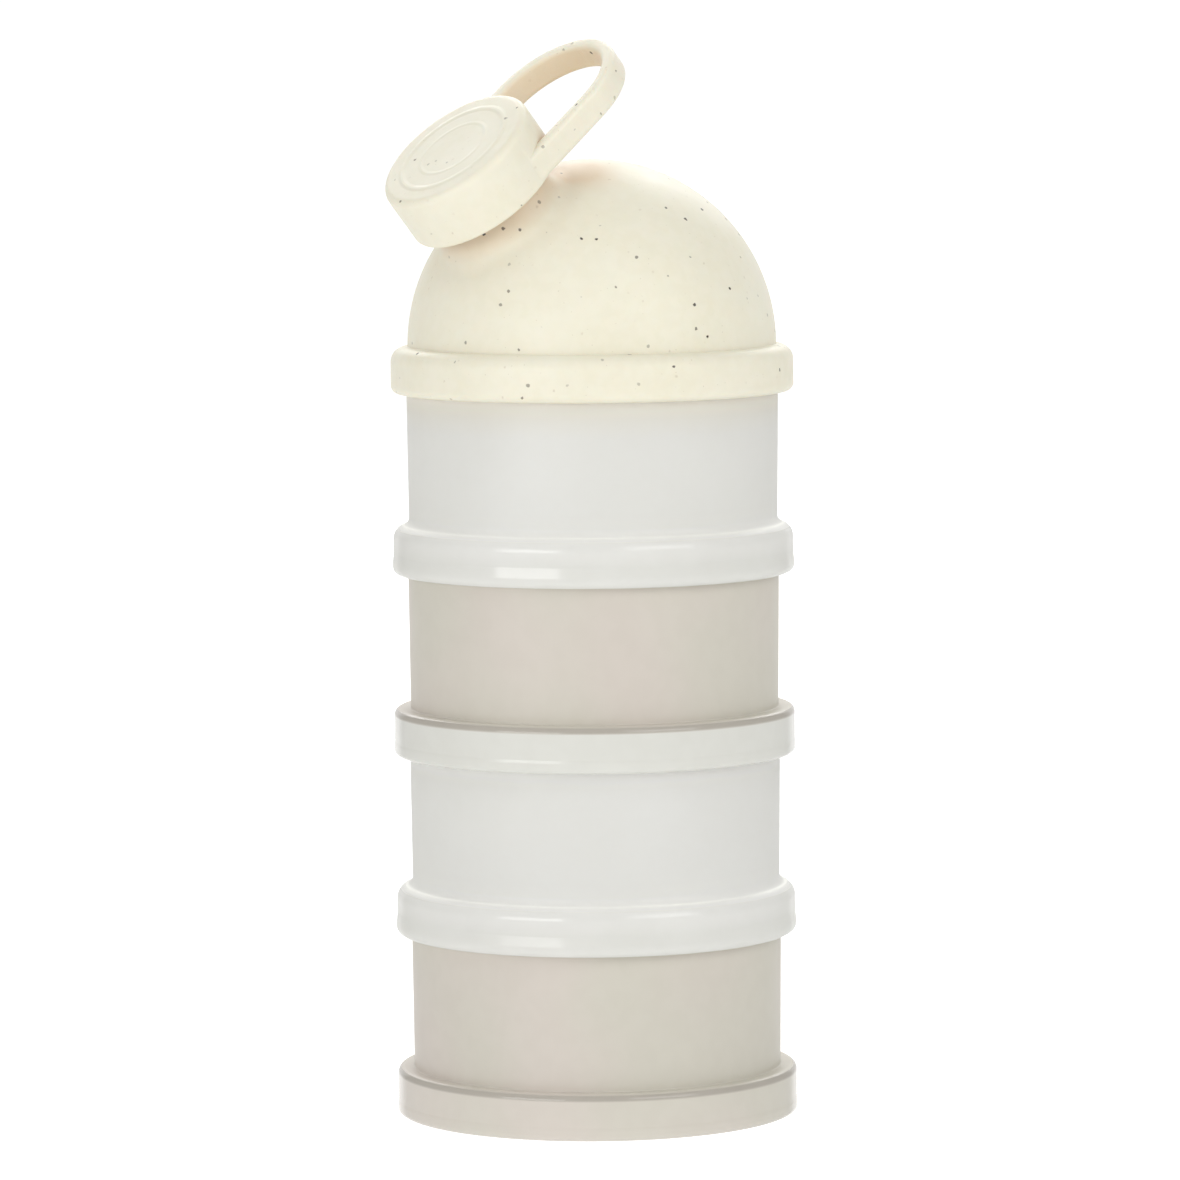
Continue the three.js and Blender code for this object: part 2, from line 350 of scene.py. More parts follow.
def noted(piece, base, edges, backed, under_lid):
    """Point values for the materials.

    They mark the skirt's face; what shows through it, painted lighter where the neck behind lets
    light through; its top edge, painted darker as shade; how strongly the wall glows, painted light
    for light running inside the wall (most of it at two corners); and the part of the wall where
    light bounced off the lid is painted warm.
    """
    place = points_of(piece)
    r = np.hypot(place[:, 0], place[:, 1])
    up = place[:, 2] - base

    on_skirt = r > COLLAR_BORE_R + 0.4
    round_foot = COLLAR_H - edges[0]
    face = np.clip((round_foot + 0.2 - up) / 0.4, 0, 1) * on_skirt
    above_face = np.clip((up - round_foot + 0.2) / 0.4, 0, 1)
    below_ledge = np.clip((COLLAR_H - 0.08 - up) / 0.3, 0, 1)
    write_value(piece, "face", face)
    # Painted light: the face is lighter where the neck behind shows through; painted shade: the top
    # edge is darker.
    write_value(piece, "backed", face * backed)
    write_value(piece, "shaded_rim", above_face * below_ledge * on_skirt)

    # Painted light: how strongly the wall glows, most where shade would fall under the next collar
    # and by the ledge.
    on_wall = r > BODY_FOOT_R - 0.1
    near_next = np.clip((up - PITCH + STRAY_REACH) / STRAY_REACH, 0, 1) ** 1.5
    near_ledge = np.exp(-((up - COLLAR_H - LEDGE_GLOW_Z) / LEDGE_GLOW_SPREAD) ** 2)
    corners = np.maximum(STRAY_UNDER_NEXT * near_next, STRAY_AT_LEDGE * near_ledge)
    write_value(piece, "stray", on_wall * (STRAY_ALL_OVER + corners))
    # Painted bounced light: warm light off the lid, fading down the top cup's wall.
    near_lid = np.clip((up - PITCH + LID_BOUNCE_REACH) / LID_BOUNCE_REACH, 0, 1)
    write_value(piece, "lid_bounce", on_wall * under_lid * near_lid)


ANGLE = np.arange(COLUMNS) * FULL_TURN / COLUMNS

SEAL_SEAT = [
    (RIB_INNER_R, FLOOR_UNDER, 0.2),
    (RIB_INNER_R, FLOOR_UNDER - RIB_DROP, 0.25),
    (SEAL_INNER_R - GAP, FLOOR_UNDER - RIB_DROP, 0.25),
    (SEAL_INNER_R - GAP, FLOOR_UNDER, 0.15),
    (COLLAR_BORE_R, FLOOR_UNDER, 0.3),
]


def collar_outside(edges, gleam=None):
    """The skirt's outside; gleam is a slightly leaning band on it: foot, head and lean inwards."""
    top, foot = edges
    outline = [(LIP_R, 0, 0.15), (COLLAR_R, 0, foot)]
    head_r = COLLAR_R
    if gleam:
        low, high, lean = gleam
        head_r -= lean
        outline += [(COLLAR_R, low, 0.2), (head_r, high, 0.2)]
    return outline + [(head_r, COLLAR_H, top)]


def wall_points(low, high):
    """Points up the cup's tapered wall, closer together under the next collar's foot."""
    taper = (BODY_R - BODY_FOOT_R) / (high - low)
    under_collar = (7.0, 5.0, 3.2, 2.4, 1.6, 0.8, 0.0)
    heights = [COLLAR_H + 4.5, *(PITCH - depth for depth in under_collar)]
    return [(BODY_FOOT_R + taper * (z - low), z, 0) for z in heights]


def chamber_rows(edges, gleam, rise, fillet):
    """A cup and its skirt; the ledge between them rises to the wall and meets it in a fillet."""
    outline = rounded([
        (0, FLOOR_UNDER, 0),
        *SEAL_SEAT,
        *collar_outside(edges, gleam),
        (BODY_FOOT_R, COLLAR_H + rise, fillet),
        *wall_points(COLLAR_H + rise, PITCH + SHOULDER),
        (BODY_R, PITCH + SHOULDER, 0.35),
        (NECK_R, PITCH + SHOULDER, 0.2),
        (NECK_R, PITCH + NECK_TOP, 0.45),
        (NECK_R - WALL, PITCH + NECK_TOP, 0.45),
        (NECK_R - WALL, PITCH, 1.5),
        (BODY_R - WALL, PITCH - WALL, 1.5),
        (BODY_FOOT_R - WALL, COLLAR_H, 2.0),
        (0, COLLAR_H, 0),
    ])
    outline = stepped(outline, COLLAR_BORE_R, 0.3, FLOOR_UNDER - 0.4)
    outline = stepped(outline, NECK_R, PITCH + SHOULDER + 0.3, PITCH + NECK_TOP - 0.5)
    rows = spread(outline)
    threaded(rows, ANGLE, COLLAR_BORE_R, FEMALE_CREST_R, 0.2, FLOOR_UNDER, FEMALE)
    threaded(rows, ANGLE, NECK_R, MALE_CREST_R, PITCH + SHOULDER, PITCH + NECK_TOP, MALE)
    return turned(rows, ANGLE)


def seal_rows():
    """A flat ring with rounded edges, starting in the middle of its underside."""
    edge = 0.25
    low = SEAL_TOP - SEAL_T
    outline = rounded([
        ((SEAL_INNER_R + SEAL_OUTER_R) / 2, low, 0),
        (SEAL_OUTER_R, low, edge),
        (SEAL_OUTER_R, SEAL_TOP, edge),
        (SEAL_INNER_R, SEAL_TOP, edge),
        (SEAL_INNER_R, low, edge),
        ((SEAL_INNER_R + SEAL_OUTER_R) / 2, low, 0),
    ])[:-1]
    return turned(spread(outline), ANGLE)


# ------------------------------------------------------------------ lid with its spout

CENTRE = np.array([0.0, 0.0, DOME_CENTRE_Z])
AXIS = np.array([
    math.sin(SPOUT_TILT) * math.cos(SPOUT_AZIMUTH),
    math.sin(SPOUT_TILT) * math.sin(SPOUT_AZIMUTH),
    math.cos(SPOUT_TILT),
])
DOWNHILL = np.array([
    math.cos(SPOUT_TILT) * math.cos(SPOUT_AZIMUTH),
    math.cos(SPOUT_TILT) * math.sin(SPOUT_AZIMUTH),
    -math.sin(SPOUT_TILT),
])
ACROSS = np.cross(AXIS, DOWNHILL)


def about_spout(rows, angle):
    """Rows of [radius, distance along the spout] turned about the spout's own axis."""
    return [
        CENTRE + row[:, 1:] * AXIS + row[:, :1] * (
            np.cos(angle)[:, None] * DOWNHILL + np.sin(angle)[:, None] * ACROSS)
        for row in rows
    ]


def dome_rows(radius, latitude, hole, count):
    """Rows from a level circle on the dome up to the round hole about the spout's axis.

    Also the angles about the spout that the columns arrive at.
    """
    level = np.stack([
        math.cos(latitude) * np.cos(ANGLE),
        math.cos(latitude) * np.sin(ANGLE),
        np.full(COLUMNS, math.sin(latitude)),
    ], 1)
    angle = np.arctan2(level @ ACROSS, level @ DOWNHILL)
    far = np.arccos(np.clip(level @ AXIS, -1, 1))
    rows = []
    for k in range(count + 1):
        polar = far + (hole - far) * k / count
        rows.append(np.stack([radius * np.sin(polar), radius * np.cos(polar)], 1))
    return about_spout(rows, angle), angle


def flare_points(count=14):
    """The fillet from the dome up into the spout, touching both, and the angle it starts at."""
    r = SPOUT_R + FLARE
    z = math.sqrt((DOME_R + FLARE) ** 2 - r ** 2)
    first = math.atan2(z, r)
    points = [
        np.array([r - FLARE * math.cos(a), z - FLARE * math.sin(a)])
        for a in np.linspace(first, 0.0, count)
    ]
    return points, math.pi / 2 - first


def lid_rows():
    """The lid's whole skin: skirt, dome, spout, back down inside the dome, and the bore."""
    inner = DOME_R - WALL
    flare, join = flare_points()
    inner_join = math.asin(THROAT_R / inner)
    outside = rounded([
        (COLLAR_BORE_R, 2.0, 0),
        *collar_outside(LID_EDGES),
        (DOME_R, COLLAR_H, 0.18),
        (DOME_R, DOME_CENTRE_Z, 0),
    ])[1:-1]
    skirt = turned(spread(outside), ANGLE)
    dome, angle = dome_rows(DOME_R, 0.0, join, 56)

    neck = flare[1:] + rounded([
        (*flare[-1], 0),
        (SPOUT_R, SPOUT_RIM, 0.4),
        (SPOUT_BORE_R, SPOUT_RIM, 0.4),
        (SPOUT_BORE_R, math.sqrt(inner ** 2 - SPOUT_BORE_R ** 2), 0.8),
        (THROAT_R, inner * math.cos(inner_join), 0),
    ])[1:-1]
    thread_foot = SPOUT_RIM - SPOUT_THREAD_RUN
    neck = spread(stepped(neck, SPOUT_R, thread_foot, SPOUT_RIM - 0.6))
    threaded(neck, angle, SPOUT_R, SPOUT_MALE_CREST_R, thread_foot, SPOUT_RIM, SPOUT_MALE)

    # The columns arrive at other angles inside, so the rows down the bore swing over to them.
    hollow, inner_angle = dome_rows(inner, SPRING, inner_join, 40)
    count = len(neck)
    blend = [np.clip((k - count * 0.55) / (count * 0.3), 0, 1) for k in range(count)]
    swing = np.mod(inner_angle - angle + math.pi, FULL_TURN) - math.pi
    neck = [about_spout([row], angle + swing * w)[0] for row, w in zip(neck, blend)]

    slope = spread(rounded([
        (inner * math.cos(SPRING), DOME_CENTRE_Z + inner * math.sin(SPRING), 0),
        (RIB_INNER_R, LEDGE_TOP_Z, 1.0),
        *SEAL_SEAT[1:],
        (COLLAR_BORE_R, 0.0, 0),
    ])[1:-1])
    bore = spread(stepped(
        [np.array([COLLAR_BORE_R, FLOOR_UNDER - 0.5]), np.array([COLLAR_BORE_R, 0.4])],
        COLLAR_BORE_R, 0.45, FLOOR_UNDER - 0.6))
    bore = threaded(bore, ANGLE, COLLAR_BORE_R, FEMALE_CREST_R, 0.2, FLOOR_UNDER, FEMALE)
    under = turned(slope + bore, ANGLE)
    return skirt + dome + neck + hollow[::-1] + under


# ------------------------------------------------------------------ spout cap


def cap_rows():
    """The cap without its loop: a face with two faint rings, a side and a threaded bore."""
    roof = CAP_TOP - CAP_ROOF
    outline = rounded([
        (0, CAP_TOP, 0),
        (INNER_RING_R - 0.6, CAP_TOP, 0.6),
        (INNER_RING_R, CAP_TOP + INNER_RING_RISE, 0.6),
        (INNER_RING_R + 0.6, CAP_TOP, 0.6),
        (RING_R - 0.8, CAP_TOP, 0.5),
        (RING_R - 0.2, CAP_TOP + RING_RISE, 0.3),
        (RING_R + 0.2, CAP_TOP + RING_RISE, 0.3),
        (RING_R + 0.8, CAP_TOP, 0.5),
        (CAP_R, CAP_TOP, 1.5),
        (CAP_R, CAP_FOOT, 0.6),
        (CAP_BORE_R, CAP_FOOT, 0.3),
        (CAP_BORE_R, roof, 0.4),
        (0, roof, 0),
    ])
    outline = stepped(outline, CAP_BORE_R, CAP_FOOT + 0.5, roof - 0.6)
    rows = spread(outline)
    threaded(rows, ANGLE, CAP_BORE_R, SPOUT_FEMALE_CREST_R, CAP_FOOT, roof, SPOUT_FEMALE)
    return about_spout(rows, ANGLE)


def loop_rows():
    """The finger loop: a rounded band swept along its centreline, with both ends in the cap."""
    radius = LOOP_OUTER_R - LOOP_T / 2
    half_t, half_h = LOOP_T / 2, LOOP_H / 2
    section = np.array(rounded([
        (0, -half_h, 0),
        (half_t, -half_h, LOOP_EDGE),
        (half_t, half_h, LOOP_EDGE),
        (-half_t, half_h, LOOP_EDGE),
        (-half_t, -half_h, LOOP_EDGE),
        (0, -half_h, 0),
    ], step=15)[:-1])
    out = np.array([math.cos(LOOP_AZIMUTH), math.sin(LOOP_AZIMUTH)])
    side = np.array([-out[1], out[0]])

    # Along the centreline: where it is, and which way is outwards from the loop.
    path = []
    for x in np.linspace(0.0, LOOP_REACH, 24)[:-1]:
        path.append((x, -radius, 0.0, -1.0))
    for a in np.linspace(-math.pi / 2, math.pi / 2, 72):
        path.append((
            LOOP_REACH + radius * math.cos(a), radius * math.sin(a), math.cos(a), math.sin(a)))
    for x in np.linspace(LOOP_REACH, 0.0, 24)[1:]:
        path.append((x, radius, 0.0, 1.0))
    rows = []
    level = LOOP_FOOT + half_h
    across = section[:, 0]
    for k, (x, y, nx, ny) in enumerate(path):
        # The ends are cut slantwise, so that they stay inside the cap's round wall.
        slant = 3.0 - 1.15 * across if k in (0, len(path) - 1) else 0 * across
        px = x + across * nx + slant
        py = y + across * ny
        flat = px[:, None] * out + py[:, None] * side
        points = (
            CENTRE + (level + section[:, 1:]) * AXIS
            + flat[:, :1] * DOWNHILL + flat[:, 1:] * ACROSS)
        rows.append(points)
    # The rows that the slanted ends have moved past are left out.
    rows[1:4] = []
    rows[-4:-1] = []
    first, last = (np.tile(end.mean(0), (len(section), 1)) for end in (rows[0], rows[-1]))
    return [first, *rows, last]


def joined(name, base, extra):
    """One solid out of two overlapping ones."""
    union = base.modifiers.new("union", "BOOLEAN")
    union.operation = "UNION"
    union.solver = "EXACT"
    union.object = extra
    graph = bpy.context.evaluated_depsgraph_get()
    mesh = bpy.data.meshes.new_from_object(base.evaluated_get(graph))
    bm = bmesh.new()
    bm.from_mesh(mesh)
    bmesh.ops.remove_doubles(bm, verts=bm.verts, dist=2e-6)
    bpy.data.objects.remove(base)
    bpy.data.objects.remove(extra)
    return finished(name, bm, sharp=math.radians(38))


def noted_loop(piece, base):
    """Marks the loop's inner wall, where painted bounced light and shade stand in for the light
    that bounces about inside it.
    """
    place = points_of(piece) - np.array([0.0, 0.0, base]) - CENTRE
    down, across = place @ DOWNHILL, place @ ACROSS
    reach = down * math.cos(LOOP_AZIMUTH) + across * math.sin(LOOP_AZIMUTH)
    aside = across * math.cos(LOOP_AZIMUTH) - down * math.sin(LOOP_AZIMUTH)
    away = np.hypot(np.maximum(reach - LOOP_REACH, 0), aside)
    within = np.clip((LOOP_OUTER_R - LOOP_T + 0.5 - away) / 0.5, 0, 1)
    clear_of_cap = np.clip((np.hypot(down, across) - CAP_R - 0.1) / 1.2, 0, 1)
    write_value(piece, "inner", INNER_LOOP * within * clear_of_cap * (reach > 0))


def noted_dome(piece, base):
    """Marks where painted shade and light bounced off the loop above it and the spout's root tint
    the dome.
    """
    place = points_of(piece) - np.array([0.0, 0.0, base]) - CENTRE
    along, down, across = place @ AXIS, place @ DOWNHILL, place @ ACROSS
    polar = np.degrees(np.arctan2(np.hypot(down, across), along))
    turn = np.degrees(np.arctan2(across, down) - LOOP_AZIMUTH + math.pi) % 360 - 180
    under_loop = UNDER_LOOP * np.exp(
        -((polar - UNDER_LOOP_POLAR) / POLAR_SPREAD) ** 2
        - ((turn - UNDER_LOOP_TURN) / TURN_SPREAD) ** 2)
    root = np.clip((SPOUT_ROOT_R - np.hypot(down, across)) / 2.5, 0, 1) * (along > 0)
    write_value(piece, "inner", np.clip(np.maximum(under_loop, root), 0, 1))


def cap_seal_rows():
    """A thick disc with rounded edges."""
    top = CAP_TOP - CAP_ROOF - GAP
    outline = rounded([
        (0, top - SEAL_T, 0),
        (CAP_SEAL_R, top - SEAL_T, 0.25),
        (CAP_SEAL_R, top, 0.25),
        (0, top, 0),
    ])
    return about_spout(spread(outline), ANGLE)


# ------------------------------------------------------------------ materials


class Nodes:
    """A node tree, with short calls to add and link nodes."""

    def __init__(self, tree):
        self.tree = tree
        self.tree.nodes.clear()

    def add(self, kind, inputs=None, **settings):
        node = self.tree.nodes.new(kind)
        for key, value in settings.items():
            setattr(node, key, value)
        for key, value in (inputs or {}).items():
            if isinstance(value, bpy.types.NodeSocket):
                self.tree.links.new(value, node.inputs[key])
            else:
                node.inputs[key].default_value = value
        return node

    def math(self, operation, a, b=None):
        inputs = {0: a} if b is None else {0: a, 1: b}
        return self.add("ShaderNodeMath", inputs, operation=operation).outputs[0]

    def mix(self, factor, a, b, blend="MIX"):
        node = self.add("ShaderNodeMix", data_type="RGBA", blend_type=blend)
        for key, value in ((0, factor), (6, a), (7, b)):
            if isinstance(value, bpy.types.NodeSocket):
                self.tree.links.new(value, node.inputs[key])
            else:
                node.inputs[key].default_value = value
        return node.outputs[2]

    def ramp(self, value, low, high, to_low=0.0, to_high=1.0):
        return self.add("ShaderNodeMapRange", {
            "Value": value, "From Min": low, "From Max": high,
            "To Min": to_low, "To Max": to_high}, interpolation_type="SMOOTHSTEP").outputs[0]

    def noise(self, where, per_metre, detail=2.0, roughness=0.5):
        return self.add("ShaderNodeTexNoise", {
            "Vector": where, "Scale": per_metre, "Detail": detail,
            "Roughness": roughness}).outputs["Fac"]


def new_material(name):
    material = bpy.data.materials.new(name)
    material.use_nodes = True
    return material, Nodes(material.node_tree)


TINGE = (0.86, 0.85, 0.83, 1.0)         # what cloudiness does to the plastic's own colour
# Painted bounced light: the warm tint that light off the cream lid gives the top cup.
LID_BOUNCE_TINT = (1.0, 0.95, 0.84, 1.0)         # what the lid above does to it


def srgb(r, g, b):
    """A colour given as 0 to 255 display values."""
    def linear(c):
        c /= 255
        return c / 12.92 if c <= 0.04045 else ((c + 0.055) / 1.055) ** 2.4
    return (linear(r), linear(g), linear(b), 1.0)


CREAM = srgb(233, 229, 211)
CREAM_CLOUD = srgb(230, 225, 204)
CREAM_PALE = srgb(238, 234, 218)
# Painted shade and bounced light: the peach that cream turns in creases, under the loop and round
# the spout.
PEACH = srgb(210, 176, 134)             # cream lit by light that has bounced off cream
FAINT_FLECK = srgb(176, 158, 132)
SPECK = srgb(150, 130, 104)
DARK_FLECK = srgb(62, 52, 42)


def speckled_plastic(name):
    """Cream plastic with brown plant-fibre flecks, some at the surface and some just under."""
    material, n = new_material(name)
    where = n.add("ShaderNodeTexCoord").outputs["Object"]
    wobble = n.add("ShaderNodeTexNoise", {"Vector": where, "Scale": 1500.0, "Detail": 1.0})
    bent = n.add("ShaderNodeVectorMath", {0: wobble.outputs["Color"], 1: (0.5, 0.5, 0.5)},
                 operation="SUBTRACT").outputs[0]
    bent = n.add("ShaderNodeVectorMath", {0: bent, "Scale": 0.0005}, operation="SCALE").outputs[0]
    bent = n.add("ShaderNodeVectorMath", {0: where, 1: bent}, operation="ADD").outputs[0]

    def flecks(cell, radius, soft, share):
        """One fleck in a share of the cells, sizes in millimetres, and a random tone for each."""
        cells = n.add("ShaderNodeTexVoronoi", {"Vector": bent, "Scale": 1000.0 / cell})
        near = n.ramp(cells.outputs["Distance"], radius / cell, (radius - soft) / cell, 0.0, 1.0)
        pick = n.add("ShaderNodeSeparateColor", {0: cells.outputs["Color"]}).outputs
        some = n.math("LESS_THAN", pick[0], share)
        return n.math("MULTIPLY", near, some), pick[1]

    dark, dark_tone = flecks(cell=3.5, radius=0.42, soft=0.16, share=0.7)
    faint, faint_tone = flecks(cell=2.9, radius=0.42, soft=0.38, share=0.5)
    specks, _ = flecks(cell=1.3, radius=0.13, soft=0.08, share=0.5)

    cloud = n.ramp(n.noise(where, 45.0, 3.0), 0.3, 0.7)
    fine = n.ramp(n.noise(where, 420.0, 2.0), 0.35, 0.65)
    base = n.mix(cloud, CREAM, CREAM_CLOUD)
    base = n.mix(n.math("MULTIPLY", fine, 0.25), base, CREAM_PALE)
    # Painted shade and bounced light: peach where ambient occlusion finds a crease, and where the
    # 'inner' mark says.
    open_sky = n.add("ShaderNodeAmbientOcclusion", {"Distance": 0.03}, samples=8).outputs["AO"]
    crease_shade = n.ramp(open_sky, 0.66, 0.18, 0.0, 0.85)
    inner = n.add("ShaderNodeAttribute", attribute_name="inner").outputs["Fac"]
    crease_shade = n.math("MAXIMUM", crease_shade, n.math("MULTIPLY", inner, 0.52))
    base = n.mix(crease_shade, base, PEACH)
    share = n.math("MULTIPLY", faint, n.ramp(faint_tone, 0, 1, 0.12, 0.4))
    base = n.mix(share, base, FAINT_FLECK)
    base = n.mix(n.math("MULTIPLY", specks, 0.3), base, SPECK)
    share = n.math("MULTIPLY", dark, n.ramp(dark_tone, 0, 1, 0.3, 1.0))
    base = n.mix(share, base, DARK_FLECK)

    grain = n.noise(where, 1800.0, 2.0)
    waves = n.noise(where, 60.0, 1.0)
    height = n.math("ADD", n.math("MULTIPLY", grain, 0.25), n.math("MULTIPLY", waves, 1.0))
    bump = n.add("ShaderNodeBump", {"Height": height, "Strength": 0.12, "Distance": 0.0003})
    gloss = n.ramp(n.noise(where, 140.0, 3.0), 0.3, 0.7, 0.42, 0.52)
    body = n.add("ShaderNodeBsdfPrincipled", {
        "Base Color": base, "Roughness": gloss, "Normal": bump.outputs[0],
        "IOR": 1.49, "Specular IOR Level": 0.5,
        "Subsurface Weight": 0.25, "Subsurface Radius": (1.0, 0.7, 0.45),
        "Subsurface Scale": 0.0025})
    n.add("ShaderNodeOutputMaterial", {"Surface": body.outputs[0]})
    return material


def frosted_plastic(
        name, body, drifting, backed_body, edge_body, gloss, depth, passed, passing, stray):
    """Milky moulded plastic: light goes part of the way through it and comes out spread.

    body is its own colour, which drifts slowly towards drifting times that; the skirt's face is
    painted lighter, backed_body, where the neck behind it lets light through, and its top edge is
    painted darker as shade, edge_body, where the solid plastic lets less light through.
    gloss and depth are for the front; passed is the colour and passing the share of the light that
    comes through; stray is how strongly the wall glows, painted light standing in for light that
    runs along inside the wall and out again.
    """
    material, n = new_material(name)
    where = n.add("ShaderNodeTexCoord").outputs["Object"]
    face = n.add("ShaderNodeAttribute", attribute_name="face").outputs["Fac"]
    backed = n.add("ShaderNodeAttribute", attribute_name="backed").outputs["Fac"]
    edge = n.add("ShaderNodeAttribute", attribute_name="shaded_rim").outputs["Fac"]
    inside = n.add("ShaderNodeAttribute", attribute_name="stray").outputs["Fac"]
    lid_bounce = n.add("ShaderNodeAttribute", attribute_name="lid_bounce").outputs["Fac"]
    cloud = n.ramp(n.noise(where, 38.0, 3.0), 0.3, 0.7)
    fine = n.ramp(n.noise(where, 300.0, 2.0), 0.35, 0.65)
    drift = n.ramp(n.noise(where, 28.0, 1.0), 0.35, 0.65)
    base = n.mix(drift, body, n.mix(1.0, body, drifting, "MULTIPLY"))
    # Painted light where the neck behind shows through, and painted shade on the top edge.
    base = n.mix(backed, base, backed_body)
    base = n.mix(edge, base, edge_body)
    # Painted bounced light off the lid, warming the colour.
    base = n.mix(lid_bounce, base, n.mix(1.0, base, LID_BOUNCE_TINT, "MULTIPLY"))
    base = n.mix(n.math("MULTIPLY", cloud, 0.15), base, n.mix(1.0, base, TINGE, "MULTIPLY"))
    base = n.mix(n.math("MULTIPLY", fine, 0.1), base, n.mix(1.0, base, TINGE, "MULTIPLY"))
    through = n.mix(n.math("MULTIPLY", cloud, 0.15), passed, n.mix(1.0, passed, TINGE, "MULTIPLY"))

    frost = n.noise(where, 2600.0, 2.0)
    waves = n.noise(where, 40.0, 1.0)
    height = n.math("ADD", n.math("MULTIPLY", frost, 0.2), waves)
    bump = n.add("ShaderNodeBump", {"Height": height, "Strength": 0.05, "Distance": 0.0003})
    rough = n.ramp(n.noise(where, 120.0, 3.0), 0.3, 0.7, 0.42, 0.48)
    rough = n.math("SUBTRACT", rough, n.math("MULTIPLY", face, 0.32))
    rough = n.math("SUBTRACT", rough, n.math("MULTIPLY", edge, 0.36))
    # Emission is painted light: the wall's glow, warm where light bounced off the lid is painted.
    front = n.add("ShaderNodeBsdfPrincipled", {
        "Base Color": base, "Roughness": rough, "Normal": bump.outputs[0],
        "IOR": 1.49, "Specular IOR Level": gloss,
        "Subsurface Weight": depth, "Subsurface Radius": (1.0, 1.0, 1.0),
        "Subsurface Scale": 0.003,
        "Emission Color": n.mix(lid_bounce, (1.0, 1.0, 1.0, 1.0), LID_BOUNCE_TINT),
        "Emission Strength": n.math("MULTIPLY", inside, stray)})
    back = n.add("ShaderNodeBsdfTranslucent", {"Color": through})
    mixed = n.add("ShaderNodeMixShader", {0: passing, 1: front.outputs[0], 2: back.outputs[0]})
    n.add("ShaderNodeOutputMaterial", {"Surface": mixed.outputs[0]})
    return material


def silicone_rubber(name):
    """Whitish rubber, dull and a little dusty."""
    material, n = new_material(name)
    where = n.add("ShaderNodeTexCoord").outputs["Object"]
    cloud = n.ramp(n.noise(where, 80.0, 3.0), 0.3, 0.7)
    base = n.mix(cloud, srgb(236, 234, 228), srgb(228, 226, 219))
    dust = n.noise(where, 1500.0, 2.0)
    bump = n.add("ShaderNodeBump", {"Height": dust, "Strength": 0.15, "Distance": 0.0002})
    rough = n.ramp(n.noise(where, 200.0, 2.0), 0.3, 0.7, 0.55, 0.68)
    body = n.add("ShaderNodeBsdfPrincipled", {
        "Base Color": base, "Roughness": rough, "Normal": bump.outputs[0],
        "IOR": 1.41,
        "Subsurface Weight": 0.3, "Subsurface Radius": (1.0, 0.9, 0.8),
        "Subsurface Scale": 0.0015})
    n.add("ShaderNodeOutputMaterial", {"Surface": body.outputs[0]})
    return material


def floor_paper(name):
    """White paper, bright enough to be pure white under any light."""
    material, n = new_material(name)
    where = n.add("ShaderNodeTexCoord").outputs["Object"]
    cloud = n.ramp(n.noise(where, 6.0, 3.0), 0.3, 0.7)
    base = n.mix(cloud, (0.93, 0.93, 0.93, 1.0), (0.95, 0.95, 0.95, 1.0))
    body = n.add("ShaderNodeBsdfPrincipled", {
        "Base Color": base, "Roughness": 0.7, "Specular IOR Level": 0.2,
        "Emission Color": (1.0, 1.0, 1.0, 1.0), "Emission Strength": 0.5})
    n.add("ShaderNodeOutputMaterial", {"Surface": body.outputs[0]})
    return material


cream = speckled_plastic("speckled_cream")
clear = frosted_plastic(
    "frosted_clear",
    body=srgb(253, 253, 250), drifting=(1.0, 1.0, 0.99, 1.0),
    backed_body=srgb(246, 247, 243), edge_body=srgb(253, 253, 250),
    gloss=1.0, depth=0.3, passed=srgb(254, 254, 252), passing=0.5, stray=0.36)
grey = frosted_plastic(
    "frosted_grey",
    body=srgb(217, 209, 199), drifting=(0.97, 1.01, 0.98, 1.0),
    backed_body=srgb(226, 226, 219), edge_body=srgb(182, 176, 166),
    gloss=0.5, depth=0.2, passed=srgb(210, 200, 190), passing=0.1, stray=0.0)
rubber = silicone_rubber("silicone")

# ------------------------------------------------------------------ assembly

# How much painted light each skirt gets where the neck inside it shows through; nothing stands in
# the lowest.
BACKED = [0.1, 1.0, 1.0, 1.0]
CHAMBER_BODIES = ["bottom_chamber", "second_chamber", "third_chamber", "top_chamber"]
SEAL_BODIES = ["bottom_chamber", "second_chamber_seal", "third_chamber_seal", "top_chamber_seal"]

for k in range(4):
    is_grey = k % 2 == 0
    node = f"chamber_{k + 1}"
    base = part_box(node)[0].z / MM
    edges = GREY_EDGES if is_grey else CLEAR_EDGES
    gleam = GREY_GLEAM if is_grey else CLEAR_GLEAM
    ledge = GREY_LEDGE if is_grey else CLEAR_LEDGE
    rows = chamber_rows(edges, gleam, *ledge)
    piece = skinned(f"chamber_{k + 1}_cup", lifted(rows, base))
    noted(piece, base, edges, BACKED[k], k == 3)
    if is_grey:
        placed(piece, node, CHAMBER_BODIES[k], grey)
    else:
        placed(piece, node, CHAMBER_BODIES[k], clear)
    ring = skinned(f"chamber_{k + 1}_seal_ring", lifted(seal_rows(), base), "ring")
    placed(ring, f"chamber_seal_{k + 1}", SEAL_BODIES[k], rubber)

lid_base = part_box("dome_lid")[0].z / MM
lid = skinned("dome_lid_shell", lifted(lid_rows(), lid_base), "ring")
noted_dome(lid, lid_base)
placed(lid, "dome_lid", "lid", cream)
ring = skinned("lid_seal_ring", lifted(seal_rows(), lid_base), "ring")
placed(ring, "lid_seal", "lid_seal", rubber)

cap_body = skinned("cap_body", lifted(cap_rows(), lid_base))
loop = skinned("cap_loop", lifted(loop_rows(), lid_base))
cap = joined("spout_cap_with_loop", cap_body, loop)
noted_loop(cap, lid_base)
placed(cap, "spout_cap", "spout_cap", cream)
disc = skinned("spout_cap_seal_disc", lifted(cap_seal_rows(), lid_base))
placed(disc, "spout_cap_seal", "spout_cap_seal", rubber)

# ------------------------------------------------------------------ studio

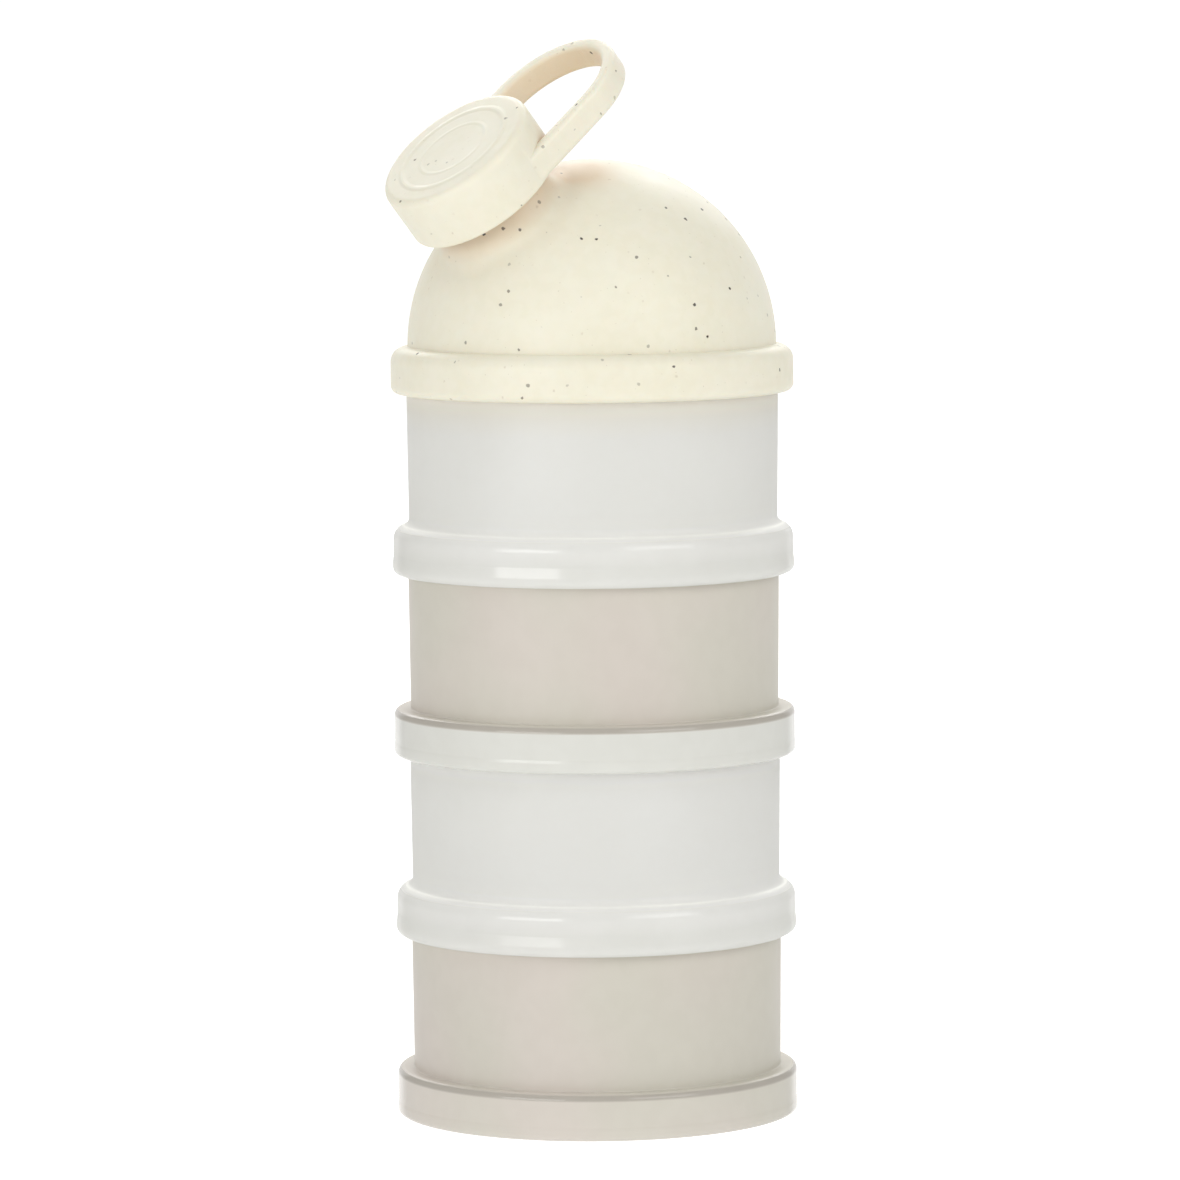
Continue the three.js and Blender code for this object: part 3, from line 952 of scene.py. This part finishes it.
bm = bmesh.new()
bmesh.ops.create_grid(bm, x_segments=8, y_segments=8, size=6.0)
floor = finished("studio_floor", bm)
floor.data.materials.append(floor_paper("pale_paper"))
floor.visible_diffuse = False
floor.visible_glossy = False
floor.visible_transmission = False
floor.visible_shadow = False

world = bpy.data.worlds.new("studio")
bpy.context.scene.world = world
world.use_nodes = True
sky = Nodes(world.node_tree)
toward = sky.add("ShaderNodeTexCoord").outputs["Generated"]
toward = sky.add("ShaderNodeSeparateXYZ", {0: toward}).outputs
behind = sky.ramp(toward["Y"], 0.80, 0.93, 0.0, 1.0)
front = sky.ramp(toward["Y"], 0.35, -0.75, 0.0, SKY_FRONT)
left = sky.ramp(toward["X"], -0.3, -0.9, 0.0, SKY_SIDE)
right = sky.ramp(toward["X"], 0.3, 0.9, 0.0, SKY_SIDE)
below = sky.ramp(toward["Z"], 0.0, -0.25, 0.0, SKY_BELOW)
under = sky.ramp(toward["Z"], -0.7, -0.9, 0.0, SKY_UNDER)
above = sky.ramp(toward["Z"], 0.6, 0.85, 0.0, SKY_ABOVE)
level = sky.math("ADD", SKY_LEVEL, front)
for part in (left, right, below, under, above):
    level = sky.math("ADD", level, part)
level = sky.math("ADD", level, sky.math("MULTIPLY", behind, SKY_BEHIND - SKY_LEVEL))
glow = sky.add("ShaderNodeBackground", {"Color": (1.0, 1.0, 1.0, 1.0), "Strength": level})
sky.add("ShaderNodeOutputWorld", {"Surface": glow.outputs[0]})


def softbox(name, azimuth, elevation, distance, width, height, brightness, aim=(0, 0, 0.11)):
    """A lit panel facing the object; brightness is how its face compares with white.

    Azimuth goes anticlockwise from the front, seen from above; lengths are in metres.
    """
    a, e = math.radians(azimuth), math.radians(elevation)
    way = Vector((math.sin(a) * math.cos(e), -math.cos(a) * math.cos(e), math.sin(e)))
    light = bpy.data.lights.new(name, "AREA")
    light.shape = "RECTANGLE"
    light.size, light.size_y = width, height
    light.energy = brightness * math.pi * width * height
    panel = bpy.data.objects.new(name, light)
    panel.location = Vector(aim) + way * distance
    panel.rotation_mode = "QUATERNION"
    panel.rotation_quaternion = (-way).to_track_quat("-Z", "Y")
    bpy.context.scene.collection.objects.link(panel)
    return panel


softbox("left_box", -38, 9, 1.3, 0.88, 0.46, 3.35)
softbox("right_box", 41, 27, 1.5, 1.05, 0.75, 2.5)
softbox("back_box", 180, 36, 1.6, 1.6, 0.8, 3.2)

# A long lens in front, a little above the middle, looking down a little and almost level.
CAMERA_PITCH = 0.0908
CAMERA_ROLL = -0.0083
camera = bpy.data.objects.new("camera", bpy.data.cameras.new("camera"))
camera.data.lens = 205.0
camera.data.sensor_width = 36.0
camera.data.shift_x = -0.0032
camera.location = (0.0, -1.3, 0.22007)
camera.rotation_mode = "QUATERNION"
camera.rotation_quaternion = (
    Matrix.Rotation(math.pi / 2 - CAMERA_PITCH, 3, "X") @ Matrix.Rotation(CAMERA_ROLL, 3, "Z")
).to_quaternion()
camera.data.clip_start = 0.05
camera.data.clip_end = 30.0
bpy.context.scene.collection.objects.link(camera)
bpy.context.scene.camera = camera
bpy.context.scene.view_settings.view_transform = "Standard"
